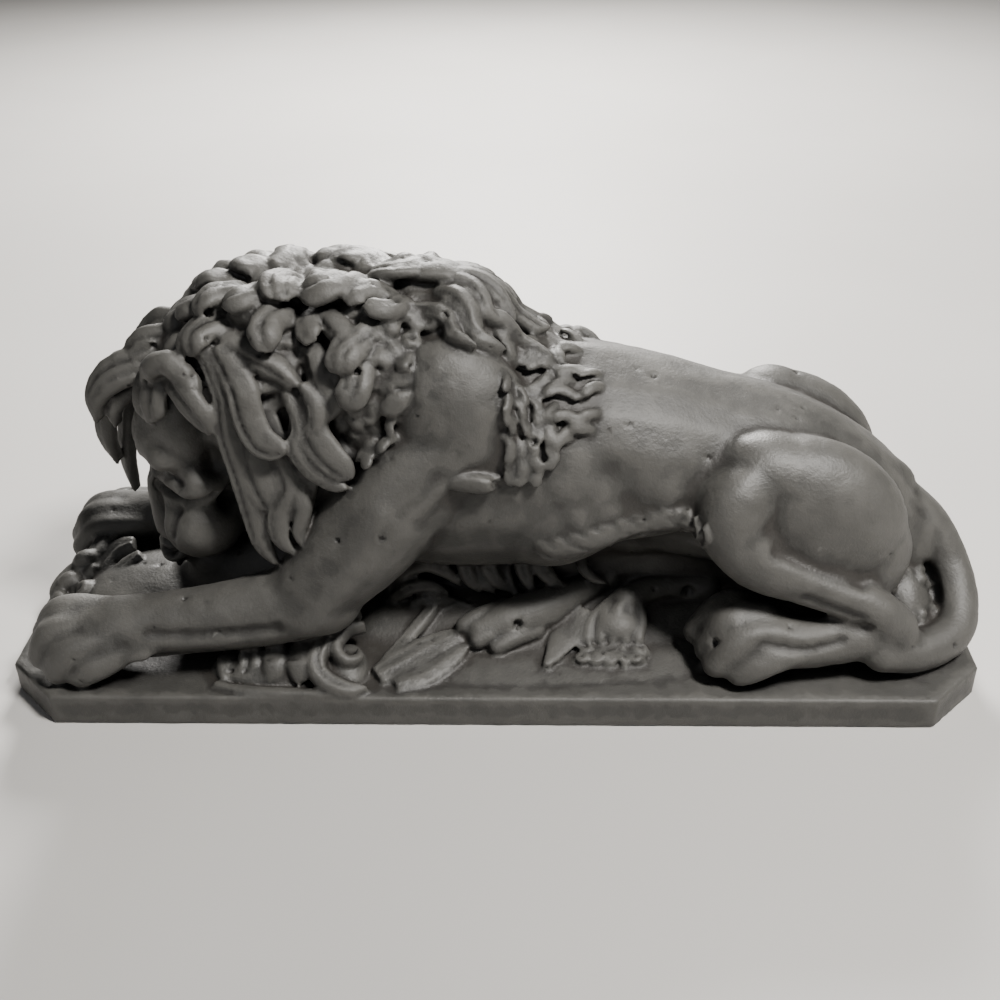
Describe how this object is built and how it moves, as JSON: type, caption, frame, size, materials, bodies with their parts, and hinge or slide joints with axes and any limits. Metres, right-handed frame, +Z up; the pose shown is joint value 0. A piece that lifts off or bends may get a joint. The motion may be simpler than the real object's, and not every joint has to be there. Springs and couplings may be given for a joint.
{
  "type": "recumbent lion figure",
  "caption": "Small cast concrete statue of a lion lying with bowed head between its forepaws on a thin plinth with cut corners.",
  "frame": {"origin": "centre of the plinth's flat underside", "axes": "+X along the plinth towards the lion's tail, the head towards -X; +Z up; -Y is the side that the picture shows"},
  "size_m": [0.2026, 0.072, 0.0877],
  "materials": {
    "concrete": "fine cast concrete, dark grey, slightly satin on the skin, with small air pits"
  },
  "bodies": {
    "root": {"lion_statue": "concrete"}
  },
  "joints": []
}
